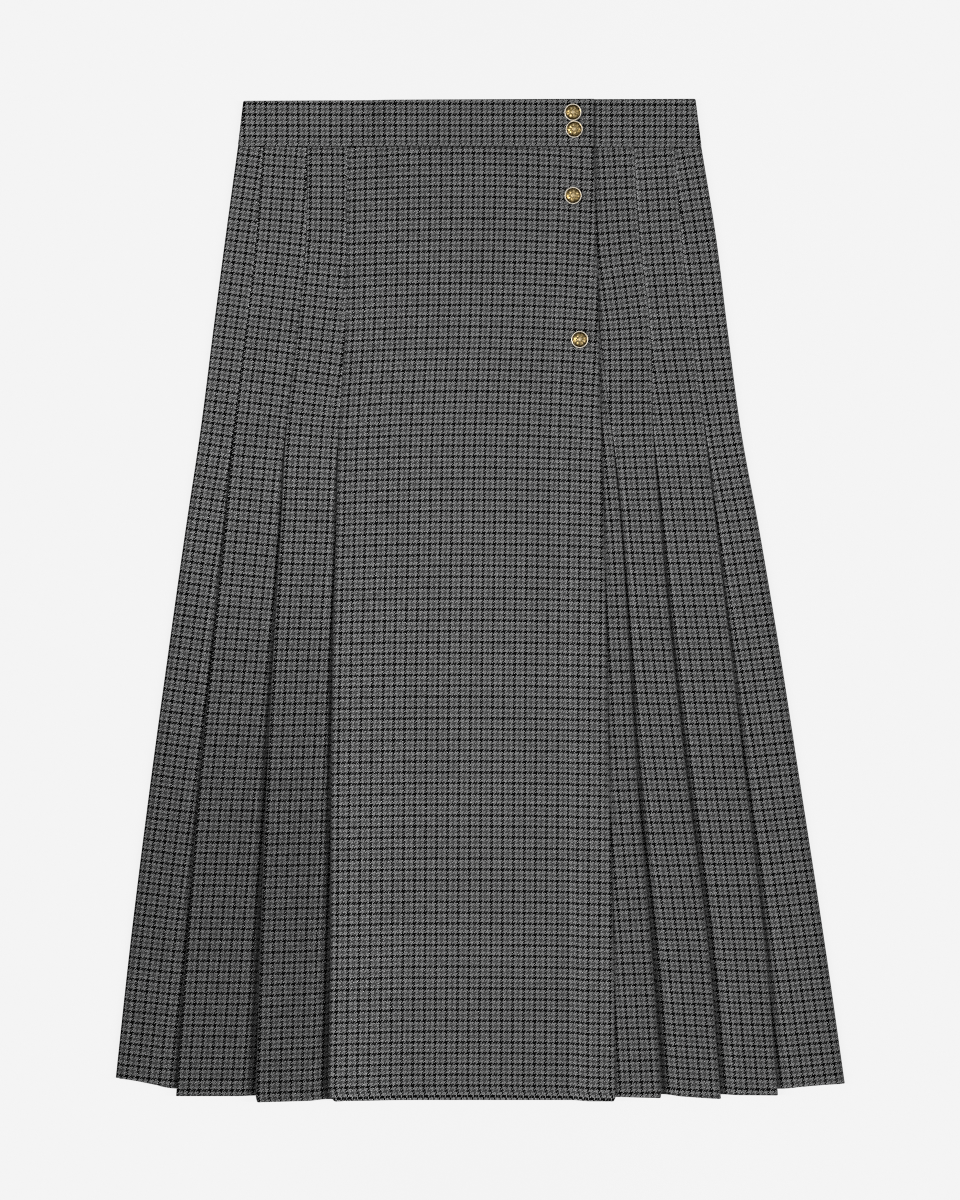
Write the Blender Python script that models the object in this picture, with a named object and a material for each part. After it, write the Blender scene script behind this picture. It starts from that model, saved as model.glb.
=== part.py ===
"""Wrap maxi skirt laid flat on its back, front up, waist towards +Y, right of the front towards +X.

Each cloth piece is a wall through sections that run across it, one section for each distance below
the waist seam. A section is the middle line of the cloth, as (across, height) points, so a pleat is
a real fold: the panel, the turn under it, the underfold and the turn back to the fold edge.
"""
import math

import bmesh
import bpy

MM = 0.001                        # sizes below are in millimetres

# Cloth and the way its layers lie on each other
WALL = 1.0                        # thickness of the cloth
AIR = 0.3                         # between layers, and at seams
LAYER = WALL + AIR
FLOOR_Z = WALL / 2                # middle of the back panel, which lies on the surface
BASE_Z = FLOOR_Z + LAYER          # middle of a layer that lies on the back panel
STACK_Z = BASE_Z + 2 * LAYER      # middle of a panel that lies over its own underfold
TURN = LAYER / 2                  # middle-line radius of a pressed fold
SIDE_TURN = (STACK_Z - FLOOR_Z) / 2
SIDE_SEAM = 8.0                   # the side seam lies this far in from the side, underneath
LOOSE_TURN = 0.22                 # a fold edge's radius grows by this much of its lift

# Waist seam and waistband
WAIST_Y = 399.0                   # seam at the middle
WAIST_TILT = -0.0022              # rise of the seam towards +X
BAND_HEIGHT = 41.0                # at the middle
BAND_SPREAD = 0.0066              # growth of that height towards +X
BAND_WALL = 2.5
BAND_TURN = (BAND_WALL + AIR) / 2
BAND_Z = tuple(BAND_WALL / 2 + level * (BAND_WALL + AIR) for level in range(3))
BAND_TOP_SIDES = (-209.0, 189.5)  # x of the waistband's two folds at its top edge

# Where each edge lies across the front, at these distances below the waist seam
BELOW_WAIST = (0, 80, 160, 250, 340, 450, 560, 700, 840)
EDGE_X = {
    "side_left": (-213.5, -224.5, -235, -246.5, -260, -275.5, -290.5, -308, -323.2),
    "left_1": (-191.5, -197.5, -206.5, -217, -225.5, -236.5, -247, -258, -268),
    "left_2": (-152.5, -153.5, -160.5, -171, -176, -182.5, -188, -193.5, -197.5),
    "left_3": (-117.5, -118, -119, -124.5, -127, -130, -131.5, -132, -134),
    "free": (99.5, 102, 104, 106, 108.5, 111, 113, 116.5, 119),
    "right_1": (90, 95.5, 104.5, 115.5, 124, 131, 138, 150, 159.5),
    "right_2": (135, 140, 149.5, 152, 159, 169.5, 182, 200, 211.5),
    "right_3": (170.5, 177, 185.5, 197.5, 208, 221, 233.5, 250, 262),
    "side_right": (194.5, 207.5, 217.5, 229.5, 246, 264.5, 281.5, 303, 323),
}

# How far each fold edge stands up above a pressed fold, at the same distances
EDGE_LIFT = {
    "left_1": (0, 0, 0, 0.3, 1.2, 2.0, 2.6, 3.2, 3.6),
    "left_2": (0, 0, 0, 0.8, 3.0, 4.0, 4.6, 5.2, 5.6),
    "left_3": (0, 0, 0, 0.8, 2.8, 4.0, 4.8, 5.6, 6.0),
    "right_1": (0, 0, 0, 0.6, 2.0, 3.4, 4.4, 5.2, 5.6),
    "right_2": (0, 0, 0, 1.0, 3.2, 4.2, 4.6, 4.6, 4.4),
    "right_3": (0, 0, 0, 0.6, 2.2, 3.2, 3.6, 3.8, 3.8),
}
UNDERFOLD = (14, 14, 14, 14, 17, 21, 25, 28, 30)

# Distance from the waist seam to the hem: at a panel's own edge, and where the next one covers it
HEM = {
    "side_left": (820.5, 830),
    "left_1": (836, 836),
    "left_2": (840.5, 839),
    "left_3": (839.5, 839),
    "right_1": (836, 834),
    "right_2": (837, 834),
    "right_3": (834, 834),
    "side_right": (824, 829),
}
HEM_ROUNDING = 2.0                # the free edge's lower corner is cut back by this much
BACK_HEM = (820, 833, 823.5)      # the back panel's hem at its left, middle and right

STITCHED_TO = 235                 # the pleats are sewn shut to this distance below the waist seam
OPEN_FROM = 330                   # and hang free from here
DITCH = 8.0                       # a sewn pleat's panel dips over this width into its seam
FLAP_RUN = 90.0                   # the overlap's fold edge settles over this width
UNDERLAP_INSET = 45.0             # the underlap ends this far right of the overlap's fold
UNDERLAP_SEAM = 40.0              # and is sewn on this far left of the free edge
WAIST_RISE = 2.2                  # the underlap rises into its waistband by this much
RISE_RUN = 60.0                   # over this distance
OVERLAP_REST = 0.6                # the overlap clears the layer beneath by this much more

ROWS = 17                         # sections from waist to hem
ARC_STEPS = 4                     # flats in a fold's half turn

# Buttons: across, and distance below the waist seam (above it for a negative one)
BUTTONS = {
    "button_1": (81.3, -29.8),
    "button_2": (82.5, -14.3),
    "button_3": (81.4, 43.5),
    "button_4": (87.2, 170.2),
}
BUTTON_SIDES = 24
BUTTON_PETALS = 6
PETAL_RELIEF = 0.22
PETAL_RING = (2.0, 5.0)           # radii between which the petals stand up
BUTTON_PROFILE = (                # radius and height, from the sewn shank up to the dome
    (2.2, 0.0), (2.2, 1.0), (6.7, 1.1), (7.5, 1.7), (7.5, 2.3), (7.1, 2.7),
    (6.6, 2.6), (6.2, 2.1), (5.6, 2.2), (4.3, 2.9), (2.8, 3.3), (1.3, 3.5),
)

CLOTH_COLOUR = (0.112, 0.113, 0.113, 1.0)
BRASS_COLOUR = (0.62, 0.44, 0.20, 1.0)


def mix(a, b, share):
    return a + (b - a) * share


def smooth_step(start, end, value):
    share = min(1.0, max(0.0, (value - start) / (end - start)))
    return share * share * (3 - 2 * share)


def smooth_max(a, b, blend=0.5):
    return (a + b + math.sqrt((a - b) ** 2 + blend * blend)) / 2


def along(row, below):
    """Smooth curve through a table's row, read at a distance below the waist seam."""
    knots = BELOW_WAIST
    i = 0
    while i < len(knots) - 2 and below > knots[i + 1]:
        i += 1
    slopes = [(row[j + 1] - row[j]) / (knots[j + 1] - knots[j]) for j in range(len(knots) - 1)]
    start_slope = slopes[i] if i == 0 else (slopes[i - 1] + slopes[i]) / 2
    end_slope = slopes[i] if i == len(slopes) - 1 else (slopes[i] + slopes[i + 1]) / 2
    gap = knots[i + 1] - knots[i]
    t = (below - knots[i]) / gap
    bend_in = (start_slope * (1 - t) - end_slope * t) * gap * t * (1 - t)
    return mix(row[i], row[i + 1], t * t * (3 - 2 * t)) + bend_in


def edge(name, below):
    return along(EDGE_X[name], below)


def underfold(below):
    return along(UNDERFOLD, below)


def lift(name, below):
    return along(EDGE_LIFT[name], below) if name in EDGE_LIFT else 0.0


def looseness(below):
    return smooth_step(STITCHED_TO, OPEN_FROM, below)


def waist_rise(below):
    return 1 - smooth_step(0, RISE_RUN, below)


def waist_y(x):
    return WAIST_Y + WAIST_TILT * x


def half_turn(centre, radius, start_degrees, turn):
    """Points of half a circle round centre; turn is 1 or -1."""
    points = []
    for step in range(ARC_STEPS + 1):
        angle = math.radians(start_degrees + turn * 180.0 * step / ARC_STEPS)
        points.append((centre[0] + radius * math.cos(angle), centre[1] + radius * math.sin(angle)))
    return points


def outer_turn(u, name, below):
    """A fold edge, from the underfold below it up to the panel above it."""
    up = lift(name, below)
    radius = TURN + LOOSE_TURN * up
    return half_turn((u + WALL / 2 + radius, STACK_Z + up - radius), radius, -90, -1)


def inner_turn(u):
    """The hidden fold at the underfold's far end."""
    return half_turn((u - WALL / 2 - TURN, BASE_Z + TURN), TURN, -90, 1)


class Panel:
    """One panel between its own edge and the edge that covers it; u is x, or -x on the right side."""

    def __init__(self, name, cover, sign):
        self.name = name
        self.cover = cover
        self.sign = sign

    def start(self, below):
        return self.sign * edge(self.name, below)

    def end(self, below):
        if self.cover == "underlap":
            return self.sign * (edge("free", below) - UNDERLAP_SEAM)
        return self.sign * edge(self.cover, below)

    def dip(self, below):
        """Where the panel comes down off its underfold: sharply by a seam, slowly below it."""
        start = self.start(below)
        end = self.end(below)
        loose = looseness(below)
        return mix(end - DITCH, start + underfold(below) + 4, loose), end - mix(1.5, 3.0, loose)

    def height(self, u, below):
        start = self.start(below)
        left = max(0.0, 1 - (u - start) / (self.end(below) - start))
        low = BASE_Z
        if self.cover == "underlap":
            low += WAIST_RISE * waist_rise(below)
        shelf = 1 - smooth_step(*self.dip(below), u)
        return mix(low, STACK_Z, shelf) + lift(self.name, below) * left ** 1.5

    def stops(self, below):
        """Where the section has its points, from the fold edge to under the next one."""
        start = self.start(below)
        end = self.end(below)
        depth = underfold(below)
        high, low = self.dip(below)
        if self.name in EDGE_LIFT:
            stops = [start + depth * 0.55, start + depth + 1.5]
        else:
            turned = start + WALL / 2 + SIDE_TURN
            stops = [mix(turned, high, share) for share in (0.35, 0.75)]
        stops += [mix(high, low, share) for share in (0.02, 0.35, 0.67, 1.0)]
        if self.cover == "underlap":
            return stops + [end - AIR / 2]
        last = WALL / 2 + TURN if self.cover != "left_3" else 0.0
        return stops + [end + WALL / 2, end + depth - last]

    def hem(self, index):
        own, covered = HEM[self.name]
        shares = (0.2, 0.4, 0.45, 0.65, 0.85, 1.0, 1.0, 1.0)
        return mix(own, covered, shares[index])


def pleated_side(names, last_cover, sign):
    """Columns of a pleated piece from its side seam inwards: (hem, place) with place(below) -> (u, z)."""
    columns = []
    side = names[0]

    def seam_place(below):
        return sign * edge(side, below) + SIDE_SEAM - AIR / 2, FLOOR_Z

    def side_place(step):
        def place(below):
            centre_u = sign * edge(side, below) + WALL / 2 + SIDE_TURN
            return half_turn((centre_u, FLOOR_Z + SIDE_TURN), SIDE_TURN, -90, -1)[step]
        return place

    columns.append((HEM[side][0], seam_place))
    columns += [(HEM[side][0], side_place(step)) for step in range(ARC_STEPS + 1)]
    covers = list(names[1:]) + [last_cover]
    for name, cover in zip(names, covers):
        panel = Panel(name, cover, sign)
        columns += panel_columns(panel)
        if cover in names:
            columns += fold_columns(panel, cover, sign)
    return columns


def panel_columns(panel):
    def stop_place(index):
        def place(below):
            u = panel.stops(below)[index]
            return u, panel.height(u, below)
        return place

    count = len(panel.stops(0))
    return [(panel.hem(index), stop_place(index)) for index in range(count)]


def fold_columns(panel, cover, sign):
    """The turn under a cover, its underfold and the turn up to its fold edge."""
    hidden_hem = (HEM[panel.name][1] + HEM[cover][0]) / 2

    def inner_place(step):
        return lambda below: inner_turn(sign * edge(cover, below) + underfold(below))[step]

    def middle_place(below):
        far = inner_place(ARC_STEPS)(below)
        near = outer_place(0)(below)
        return mix(far[0], near[0], 0.5), mix(far[1], near[1], 0.5)

    def outer_place(step):
        return lambda below: outer_turn(sign * edge(cover, below), cover, below)[step]

    columns = [(hidden_hem, inner_place(step)) for step in range(1, ARC_STEPS + 1)]
    columns.append((mix(hidden_hem, HEM[cover][0], 0.5), middle_place))
    columns += [(HEM[cover][0], outer_place(step)) for step in range(ARC_STEPS + 1)]
    return columns


RIGHT_INNER = Panel("right_1", "underlap", -1)


def underlap_end(below):
    return edge("left_3", below) + UNDERLAP_INSET


def beneath_overlap(x, below):
    """Height of the layer that the overlap lies on."""
    if x > edge("free", below) - UNDERLAP_SEAM:
        return RIGHT_INNER.height(-x, below)
    ramp = smooth_step(underlap_end(below) - 28, underlap_end(below) - 3, x)
    return BASE_Z + WAIST_RISE * waist_rise(below) * ramp


def overlap_height(x, below):
    fold = edge("left_3", below)
    depth = underfold(below)
    settle = max(0.0, 1 - (x - fold) / FLAP_RUN)
    shelf = 1 - smooth_step(fold + depth + 4, fold + depth + 30, x)
    own = BASE_Z + LAYER + LAYER * shelf + lift("left_3", below) * settle ** 1.5
    ramp = smooth_step(underlap_end(below) - 28, underlap_end(below) - 3, x)
    rested = beneath_overlap(x, below) + LAYER + (OVERLAP_REST + WAIST_RISE * 0.4 * waist_rise(below)) * ramp
    return smooth_max(own, rested)


def overlap_columns():
    """The overlap from its hidden seam, round its fold edge and across the front to its free edge."""
    hidden_hem = (HEM["left_2"][1] + HEM["left_3"][0]) / 2
    own_hem, free_hem = HEM["left_3"]

    def seam_place(below):
        return edge("left_3", below) + underfold(below), BASE_Z + LAYER

    def middle_place(below):
        far = seam_place(below)
        near = outer_place(0)(below)
        return mix(far[0], near[0], 0.5), mix(far[1], near[1], 0.5)

    def outer_place(step):
        return lambda below: outer_turn(edge("left_3", below), "left_3", below)[step]

    def top_place(index):
        def place(below):
            x = overlap_stops(below)[index]
            return x, overlap_height(x, below)
        return place

    columns = [(hidden_hem, seam_place), (hidden_hem, middle_place)]
    columns += [(own_hem, outer_place(step)) for step in range(ARC_STEPS + 1)]
    count = len(overlap_stops(0))
    for index in range(count):
        rounding = HEM_ROUNDING if index == count - 1 else 0.0
        columns.append((free_hem - rounding, top_place(index)))
    return columns


def overlap_stops(below):
    fold = edge("left_3", below)
    free = edge("free", below)
    depth = underfold(below)
    stops = [fold + depth * 0.55] + [fold + depth + out for out in (4, 17, 30)]
    inner = free - UNDERLAP_SEAM - 2
    stops += [mix(stops[-1], inner, step / 5) for step in range(1, 6)]
    return stops + [free - out for out in (33, 24, 15, 7, 2, 0)]


def underlap_columns():
    def place_at(share):
        def place(below):
            seam = edge("free", below) - UNDERLAP_SEAM - AIR / 2
            x = mix(underlap_end(below), seam, share)
            return x, BASE_Z + WAIST_RISE * waist_rise(below)
        return place

    return [(HEM["right_1"][1] - 2 * (1 - step / 6), place_at(step / 6)) for step in range(7)]


def back_columns():
    """The back panel between the two side seams, flat on the surface."""
    def place_at(share):
        def place(below):
            left = edge("side_left", below) + SIDE_SEAM + AIR / 2
            right = edge("side_right", below) - SIDE_SEAM - AIR / 2
            return mix(left, right, share), FLOOR_Z
        return place

    left_hem, middle_hem, right_hem = BACK_HEM
    columns = []
    for step in range(11):
        share = step / 10
        side_hem = mix(left_hem, right_hem, share)
        crown = 4 * share * (1 - share)
        hem = mix(side_hem, middle_hem, crown)
        columns.append((hem, place_at(share)))
    return columns


def sections(columns, sign):
    """Rows of (x, y, z) points down a piece, from the waist seam to its hem."""
    rows = []
    for row in range(ROWS):
        points = []
        for hem, place in columns:
            below = mix(AIR, hem, row / (ROWS - 1))
            u, z = place(below)
            points.append((sign * u, waist_y(sign * u) - below, z))
        rows.append(points)
    return rows


def band_sections():
    """Rows of points up the waistband, which starts at the free edge and goes once round."""
    low_z, mid_z, high_z = BAND_Z
    rows = []
    for share in (0.0, 0.5, 1.0):
        left = mix(edge("side_left", 0), BAND_TOP_SIDES[0], share)
        right = mix(edge("side_right", 0), BAND_TOP_SIDES[1], share)
        free = edge("free", 0)
        end = underlap_end(0)
        reach = BAND_WALL / 2 + BAND_TURN
        path = [(mix(free, end - 5, step / 6), high_z) for step in range(6)]
        for step in range(5):
            drop = smooth_step(0, 4, step)
            path.append((end - 5 - 25 * step / 4, mix(high_z, mid_z, drop)))
        path += [(mix(end - 30, left + reach, step / 4), mid_z) for step in range(1, 4)]
        path += half_turn((left + reach, low_z + BAND_TURN), BAND_TURN, 90, 1)
        path += [(mix(left + reach, right - reach, step / 8), low_z) for step in range(1, 8)]
        path += half_turn((right - reach, low_z + BAND_TURN), BAND_TURN, -90, 1)
        path += [(mix(right - reach, end, step / 8), mid_z) for step in range(1, 9)]
        row = []
        for x, z in path:
            height = BAND_HEIGHT + BAND_SPREAD * x
            row.append((x, waist_y(x) + height * share, z))
        rows.append(row)
    return rows


def section_normals(points):
    """Offsets that carry a unit wall to both sides of a section's middle line."""
    normals = []
    for i, point in enumerate(points):
        directions = []
        for a, b in ((i - 1, i), (i, i + 1)):
            if a < 0 or b >= len(points):
                continue
            dx = points[b][0] - points[a][0]
            dz = points[b][2] - points[a][2]
            length = math.hypot(dx, dz)
            directions.append((dx / length, dz / length))
        tx = sum(direction[0] for direction in directions)
        tz = sum(direction[1] for direction in directions)
        size = math.hypot(tx, tz)
        mitre = min(1.2, len(directions) / size)
        normals.append((-tz / size * mitre, tx / size * mitre))
    return normals


def add_object(name, mesh, material):
    shape = bpy.data.objects.new(name, mesh)
    shape.data.materials.append(material)
    bpy.context.scene.collection.objects.link(shape)
    return shape


def add_wall(name, rows, wall, material):
    """A closed wall whose middle surface runs through the rows."""
    body = bmesh.new()
    skins = ([], [])
    for points in rows:
        normals = section_normals(points)
        for skin, side in zip(skins, (wall / 2, -wall / 2)):
            line = []
            for (x, y, z), (nx, nz) in zip(points, normals):
                line.append(body.verts.new(((x + nx * side) * MM, y * MM, (z + nz * side) * MM)))
            skin.append(line)
    upper, lower = skins
    last_row = len(rows) - 1
    last_column = len(rows[0]) - 1
    for r in range(last_row):
        for c in range(last_column):
            body.faces.new((upper[r][c], upper[r + 1][c], upper[r + 1][c + 1], upper[r][c + 1]))
            body.faces.new((lower[r][c], lower[r][c + 1], lower[r + 1][c + 1], lower[r + 1][c]))
    for r in (0, last_row):
        for c in range(last_column):
            body.faces.new((upper[r][c], upper[r][c + 1], lower[r][c + 1], lower[r][c]))
    for c in (0, last_column):
        for r in range(last_row):
            body.faces.new((upper[r][c], upper[r + 1][c], lower[r + 1][c], lower[r][c]))
    bmesh.ops.triangulate(body, faces=body.faces[:])
    bmesh.ops.recalc_face_normals(body, faces=body.faces[:])
    mesh = bpy.data.meshes.new(name)
    body.to_mesh(mesh)
    body.free()
    mesh.shade_smooth()
    mesh.set_sharp_from_angle(angle=math.radians(50))
    return add_object(name, mesh, material)


def add_button(name, x, below, seat_z, material):
    """A turned shank button with a ring of low petals on its dome."""
    body = bmesh.new()
    rings = []
    for radius, height in BUTTON_PROFILE:
        inner, outer = PETAL_RING
        on_dome = height > 2.5 and inner < radius < outer
        ring = []
        for side in range(BUTTON_SIDES):
            angle = 2 * math.pi * side / BUTTON_SIDES
            petal = PETAL_RELIEF * math.cos(BUTTON_PETALS * angle) if on_dome else 0.0
            spot = (radius * math.cos(angle), radius * math.sin(angle), height + petal)
            ring.append(body.verts.new([value * MM for value in spot]))
        rings.append(ring)
    for lower, upper in zip(rings, rings[1:]):
        for side in range(BUTTON_SIDES):
            after = (side + 1) % BUTTON_SIDES
            body.faces.new((lower[side], lower[after], upper[after], upper[side]))
    body.faces.new(rings[0][::-1])
    body.faces.new(rings[-1])
    bmesh.ops.recalc_face_normals(body, faces=body.faces[:])
    mesh = bpy.data.meshes.new(name)
    body.to_mesh(mesh)
    body.free()
    mesh.shade_smooth()
    mesh.set_sharp_from_angle(angle=math.radians(40))
    shape = add_object(name, mesh, material)
    shape.location = (x * MM, (waist_y(x) - below) * MM, (seat_z + AIR) * MM)
    return shape


def make_material(name, colour, roughness, metallic):
    material = bpy.data.materials.new(name)
    material.use_nodes = True
    shader = material.node_tree.nodes["Principled BSDF"]
    shader.inputs["Base Color"].default_value = colour
    shader.inputs["Roughness"].default_value = roughness
    shader.inputs["Metallic"].default_value = metallic
    return material


def main():
    for shape in list(bpy.data.objects):
        bpy.data.objects.remove(shape, do_unlink=True)
    left = pleated_side(("side_left", "left_1", "left_2"), "left_3", 1)
    right = pleated_side(("side_right", "right_3", "right_2", "right_1"), "underlap", -1)
    pieces = {
        "back": sections(back_columns(), 1),
        "left_pleats": sections(left, 1),
        "right_pleats": sections(right, -1),
        "underlap": sections(underlap_columns(), 1),
        "apron": sections(overlap_columns(), 1),
    }
    for name, rows in pieces.items():
        add_wall(name, rows, WALL, make_material(name, CLOTH_COLOUR, 0.85, 0.0))
    band_material = make_material("waistband", CLOTH_COLOUR, 0.85, 0.0)
    add_wall("waistband", band_sections(), BAND_WALL, band_material)
    for name, (x, below) in BUTTONS.items():
        if below < 0:
            seat_z = BAND_Z[2] + BAND_WALL / 2
        else:
            seat_z = overlap_height(x, below) + WALL / 2
        add_button(name, x, below, seat_z, make_material(name, BRASS_COLOUR, 0.32, 1.0))


main()
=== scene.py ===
"""Looks of the pleated wrap skirt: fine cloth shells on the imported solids, check weave, buttons, light.

Every cloth piece is a thin closed shell through sections that run across it, one for each distance
below the waist seam, as in the solids, but with many more sections, rounded folds, rounded edges and
the soft hollows of worn cloth. Sizes are in millimetres until a mesh is made.
"""
import math
from collections import namedtuple

import bpy
import numpy as np
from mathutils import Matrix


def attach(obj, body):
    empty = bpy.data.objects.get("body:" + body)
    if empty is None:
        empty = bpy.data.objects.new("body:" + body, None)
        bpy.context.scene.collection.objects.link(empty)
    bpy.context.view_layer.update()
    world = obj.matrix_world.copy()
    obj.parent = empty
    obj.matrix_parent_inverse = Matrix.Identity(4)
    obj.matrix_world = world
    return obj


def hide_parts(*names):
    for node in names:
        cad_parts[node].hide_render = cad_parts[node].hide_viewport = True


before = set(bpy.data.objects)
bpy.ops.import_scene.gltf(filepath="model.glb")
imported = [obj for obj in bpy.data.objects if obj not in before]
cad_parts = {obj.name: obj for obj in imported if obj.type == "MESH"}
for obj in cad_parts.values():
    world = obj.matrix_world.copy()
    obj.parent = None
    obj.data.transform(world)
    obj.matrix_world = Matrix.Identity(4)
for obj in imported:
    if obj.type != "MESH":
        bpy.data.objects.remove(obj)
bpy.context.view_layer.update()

MM = 0.001

# ------------------------------ sizes, as in the solids
WALL = 1.0                    # thickness of the cloth
AIR = 0.3                     # between layers
LAYER = WALL + AIR
FLOOR_Z = WALL / 2            # middle of the back panel
BASE_Z = FLOOR_Z + LAYER      # middle of a layer on the back panel
STACK_Z = BASE_Z + 2 * LAYER  # middle of a panel over its own underfold
TURN = LAYER / 2              # middle-line radius of a pressed fold
SIDE_TURN = (STACK_Z - FLOOR_Z) / 2
SIDE_SEAM = 8.0               # the side seam lies this far in, underneath
LOOSE_TURN = 0.22             # a fold edge's radius grows by this much of its lift

WAIST_Y = 399.0               # waist seam at the middle
WAIST_TILT = -0.0022          # rise of the seam towards +X
BAND_HEIGHT = 41.0            # the waistband's height at the middle
BAND_SPREAD = 0.0066          # growth of that height towards +X
BAND_WALL = 2.5
BAND_TURN = (BAND_WALL + AIR) / 2
BAND_Z = tuple(BAND_WALL / 2 + level * (BAND_WALL + AIR) for level in range(3))
BAND_TOP_SIDES = (-209.0, 189.5)  # x of the waistband's two folds at its top edge

# Where each edge lies across the front, at these distances below the waist seam
BELOW_WAIST = (0, 80, 160, 250, 340, 450, 560, 700, 840)
EDGE_X = {
    "side_left": (-213.5, -224.5, -235, -246.5, -260, -275.5, -290.5, -308, -323.2),
    "left_1": (-191.5, -197.5, -206.5, -217, -225.5, -236.5, -247, -258, -268),
    "left_2": (-152.5, -153.5, -160.5, -171, -176, -182.5, -188, -193.5, -197.5),
    "left_3": (-117.5, -118, -119, -124.5, -127, -130, -131.5, -132, -134),
    "free": (99.5, 102, 104, 106, 108.5, 111, 113, 116.5, 119),
    "right_1": (90, 95.5, 104.5, 115.5, 124, 131, 138, 150, 159.5),
    "right_2": (135, 140, 149.5, 152, 159, 169.5, 182, 200, 211.5),
    "right_3": (170.5, 177, 185.5, 197.5, 208, 221, 233.5, 250, 262),
    "side_right": (194.5, 207.5, 217.5, 229.5, 246, 264.5, 281.5, 303, 323),
}

# How far each fold edge of the solids stands up above a pressed fold, at the same distances
EDGE_LIFT = {
    "left_1": (0, 0, 0, 0.3, 1.2, 2.0, 2.6, 3.2, 3.6),
    "left_2": (0, 0, 0, 0.8, 3.0, 4.0, 4.6, 5.2, 5.6),
    "left_3": (0, 0, 0, 0.8, 2.8, 4.0, 4.8, 5.6, 6.0),
    "right_1": (0, 0, 0, 0.6, 2.0, 3.4, 4.4, 5.2, 5.6),
    "right_2": (0, 0, 0, 1.0, 3.2, 4.2, 4.6, 4.6, 4.4),
    "right_3": (0, 0, 0, 0.6, 2.2, 3.2, 3.6, 3.8, 3.8),
}
UNDERFOLD = (14, 14, 14, 14, 17, 21, 25, 28, 30)

# Distance from the waist seam to the hem: at a panel's own edge, and where the next one covers it
HEM = {
    "side_left": (820.5, 830),
    "left_1": (836, 836),
    "left_2": (840.5, 839),
    "left_3": (839.5, 839),
    "right_1": (836, 834),
    "right_2": (837, 834),
    "right_3": (834, 834),
    "side_right": (824, 829),
}
BACK_HEM = (820, 833, 823.5)  # the back panel's hem at its left, middle and right

STITCHED_TO = 235             # the pleats are sewn shut to this distance below the waist seam
OPEN_FROM = 330               # and hang free from here
FLAP_RUN = 90.0               # the overlap's fold edge settles over this width
UNDERLAP_INSET = 45.0         # the underlap ends this far right of the overlap's fold
UNDERLAP_SEAM = 40.0          # and is sewn on this far left of the free edge
UNDERLAP_SLOPE = 2.0          # its hem rises by this much towards its end
WAIST_RISE = 2.2              # the underlap rises into its waistband by this much
RISE_RUN = 60.0               # over this distance
OVERLAP_REST = 0.6            # the overlap clears the layer beneath by this much more
REST_RISE = 0.4               # and by this share of the underlap's rise

# Buttons: across, and distance below the waist seam; up to half a millimetre off the solids' places
BUTTONS = {
    "button_1": (81.2, -29.3),
    "button_2": (82.3, -14.4),
    "button_3": (81.4, 43.7),
    "button_4": (87.2, 170.2),
}

# ------------------------------ finer form than the solids have
ROWS = 210                    # sections from waist to hem
ROUNDING = (25.0, 45.0, 62.0, 76.0, 86.0)    # degrees round a raw or folded edge
ARC_STEPS = 8                 # flats in a fold's half turn
PANEL_STEPS = 16              # columns across a panel's open part
DIP_STEPS = 10                # and down into the fold beyond it
FAR_SHARES = (0.35, 0.7, 1.0)  # and on to the hidden fold
UNDERFOLD_SHARES = (0.25, 0.5, 0.75)
OVERLAP_STEPS = 88
UNDERLAP_STEPS = 30
BACK_STEPS = 40

# Shares of the solids' lift that a fold has where it opens, and at the hem
LIFT_SHARE = {
    "left_1": (0.45, 0.6),
    "left_2": (0.85, 1.3),
    "left_3": (0.8, 1.3),
    "right_1": (1.0, 1.35),
    "right_2": (0.9, 1.15),
    "right_3": (0.75, 1.0),
}
LIFT_FROM = (320.0, 780.0)    # the share changes over this stretch below the waist
DITCH = {"left_1": 0.3}       # a sewn pleat's panel dips over this width into its seam
DITCH_ELSEWHERE = 1.0
FOLD_MOUTH = (7.5, 17.0)      # and an open pleat's over these widths at its top and at the hem
DIP_PAST = (0.3, -0.6)        # the dip ends this far beyond the next edge: sewn, and open
PUFF_LEFT = (0.75, 0.6)       # shares of its lift that a panel keeps up to there
PUFF_FADE = 1.2               # power by which it loses the rest across its width
SIDE_PUFF = 1.6               # the outer panels stand up by this much
HOLLOW_FADE = 4               # power by which the hollows fade towards a fold edge
SETTLE_FADE = 1.5             # and by which the overlap's edges settle
FLAP_RAMP = (4.0, 30.0)       # the overlap comes down this far beyond its own underfold
LAP_RAMP = (28.0, 3.0)        # and rises this far before the underlap's end
OVERLAP_SUNK = 0.6            # share of the hollows' depth that the overlap has
FREE_STRIP = 20.0             # the free edge curls over this width
FREE_CURL = 0.25              # it stands up by this much near the waist
CURL_LEFT = 0.45              # and by this share of that
CURL_FROM = (250.0, 400.0)    # below this stretch
TUCK = 0.9                    # cloth goes this far up into the waist seam
SEAM_DROP = 1.1               # and sinks by this much there
SEAM_RUN = 2.6                # over this distance

# Where a fold's lower corner is cut back at the hem: width and height
CORNER = {"left_3": (7.0, 13.0), "free": (3.5, 5.0), "left_2": (2.0, 5.0), "right_1": (1.5, 5.0)}

# How far a panel's hem has gone from its own edge to its covered end, at each of the panel's lines
HEM_AT = {"crown": 0.1, "high": 0.6, "low": 1.0, "far": 1.0}

# These folds lie this far into the check, on a dark stripe
FOLD_IN_CHECK = {"left_2": 1.8, "left_3": 2.2}

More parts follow.
